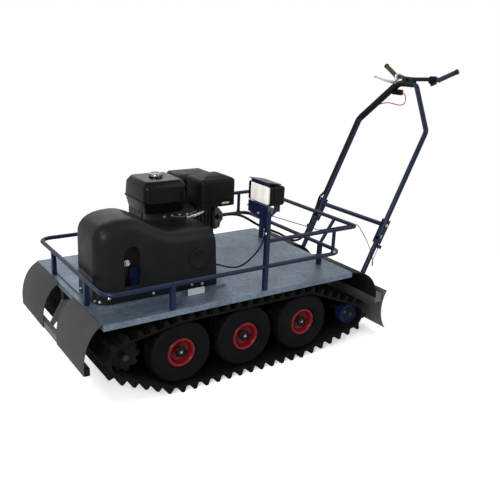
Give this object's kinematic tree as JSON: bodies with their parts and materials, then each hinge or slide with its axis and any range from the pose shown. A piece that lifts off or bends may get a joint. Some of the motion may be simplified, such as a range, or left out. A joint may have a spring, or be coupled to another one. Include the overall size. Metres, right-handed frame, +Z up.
{
  "type": "tracked snow tug",
  "caption": "Walk-behind snow tug on rubber tracks: flat deck with tube rails, front engine and covered belt drive, work lamp on a post, and a folding handlebar behind.",
  "frame": {"origin": "on the ground, at the middle of the overall length and width", "axes": "+X forward along the vehicle, +Y to its left, +Z up"},
  "size_m": [1.9929, 0.786, 1.2509],
  "materials": {
    "black_paint": "satin black paint",
    "black_plastic": "textured black moulding",
    "black_rubber": "black rubber sheet",
    "blue_paint": "dark blue gloss paint",
    "cable": "black cable sheath",
    "cast_alloy": "cast aluminium",
    "chrome": "bright plating",
    "galvanised": "galvanised sheet, dull",
    "grey_rubber": "grey rubber sheet",
    "grey_steel": "grey steel sheet",
    "grip_rubber": "ribbed grip rubber",
    "lens": "clear ribbed lens",
    "red_cord": "red cord",
    "red_paint": "red paint",
    "steel": "bare steel",
    "track_rubber": "matt black rubber",
    "tyre": "black rubber"
  },
  "bodies": {
    "chassis": {"air_cleaner": "black_plastic", "axle_hangers": "blue_paint", "axles": "steel", "belt_pulleys": "steel", "chassis_frame": "blue_paint", "crossbar_caps": "black_plastic", "deck": "galvanised", "drive_backplate": "blue_paint", "drive_cover": "black_plastic", "drive_sprockets": "black_plastic", "engine_base": "blue_paint", "engine_crankcase": "cast_alloy", "engine_cylinder": "cast_alloy", "engine_harness": "cable", "front_crossbar": "blue_paint", "front_guards": "grey_rubber", "fuel_cap": "chrome", "fuel_tank": "black_paint", "handle_legs": "blue_paint", "idler_wheels": "black_plastic", "lamp_bracket": "blue_paint", "lamp_lead": "cable", "lamp_post": "blue_paint", "lamp_wire": "cable", "lower_rail": "blue_paint", "muffler": "black_paint", "rail_braces": "blue_paint", "rail_posts": "blue_paint", "rear_beam": "blue_paint", "rear_droop_wire": "cable", "rear_guards": "black_rubber", "rear_snow_plate": "grey_steel", "recoil_starter": "black_paint", "tow_hitch": "blue_paint", "track_left": "track_rubber", "track_right": "track_rubber", "tyres": "tyre", "upper_rail": "blue_paint", "wheel_rims": "red_paint"},
    "handlebar": {"handle_frame": "blue_paint", "handlebar": "blue_paint", "bar_clamps": "black_paint", "grips": "grip_rubber", "handle_conduit": "cable", "bar_controls": "black_plastic", "stop_lanyard": "red_cord"},
    "headlamp": {"lamp_housing": "black_plastic", "lamp_lens": "lens", "lamp_visor": "blue_paint"}
  },
  "joints": [
    {"name": "handlebar_fold", "type": "hinge", "parent": "chassis", "child": "handlebar", "pos_m": [-0.56955, 0, 0.45491], "axis": [0, 1, 0], "range_deg": [0, 85]},
    {"name": "headlamp_tilt", "type": "hinge", "parent": "chassis", "child": "headlamp", "pos_m": [0.17747, 0.314, 0.76476], "axis": [0, 1, 0], "range_deg": [-20, 20]}
  ]
}
